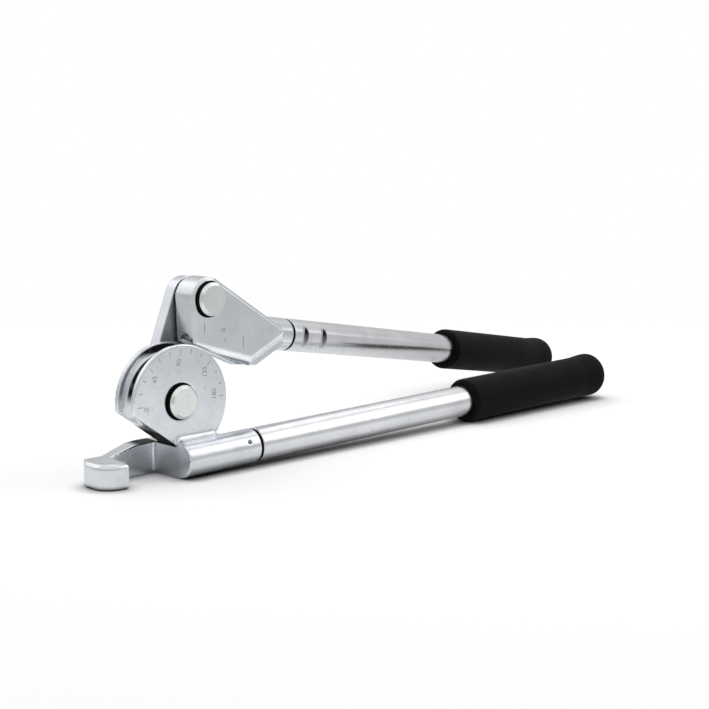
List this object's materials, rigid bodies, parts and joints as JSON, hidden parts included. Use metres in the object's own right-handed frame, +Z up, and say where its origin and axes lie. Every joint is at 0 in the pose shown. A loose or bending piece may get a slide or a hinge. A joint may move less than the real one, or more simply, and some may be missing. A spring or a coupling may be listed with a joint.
{
  "type": "tube bender",
  "caption": "Hand lever tube bender: a grooved wheel with a hook for the tube's fixed leg, a forming shoe rolling round it on a link, and two tube handles with rubber grips.",
  "frame": {"origin": "on the floor under the wheel's axis, in the wheel's middle plane", "axes": "+Z up, +X from the hook to the grips, +Y along the wheel's axis towards the link at the back"},
  "size_m": [0.3717, 0.0912, 0.0863],
  "materials": {
    "plated_forging": "satin plating over a forged surface",
    "plated_tube": "bright plating",
    "pin_steel": "turned end faces",
    "dark_steel": "oiled dark",
    "black_rubber": "matt"
  },
  "bodies": {
    "base": {"bending_form": "plated_forging", "lower_tube": "plated_tube", "lower_grip": "black_rubber", "drive_pin": "dark_steel"},
    "link_arm": {"link": "plated_forging", "wheel_pin": "pin_steel", "shoe_pin": "pin_steel", "retaining_rings": "dark_steel", "thrust_washers": "dark_steel"},
    "shoe_lever": {"forming_shoe": "plated_forging", "upper_tube": "plated_tube", "upper_grip": "black_rubber"}
  },
  "joints": [
    {"name": "link_swing", "type": "hinge", "parent": "base", "child": "link_arm", "pos_m": [0, 0, 0.0335], "axis": [0, 1, 0], "range_deg": [-124, 34]},
    {"name": "shoe_swing", "type": "hinge", "parent": "link_arm", "child": "shoe_lever", "pos_m": [0.01663, 0, 0.07682], "axis": [0, 1, 0], "range_deg": [-140, 0]}
  ]
}
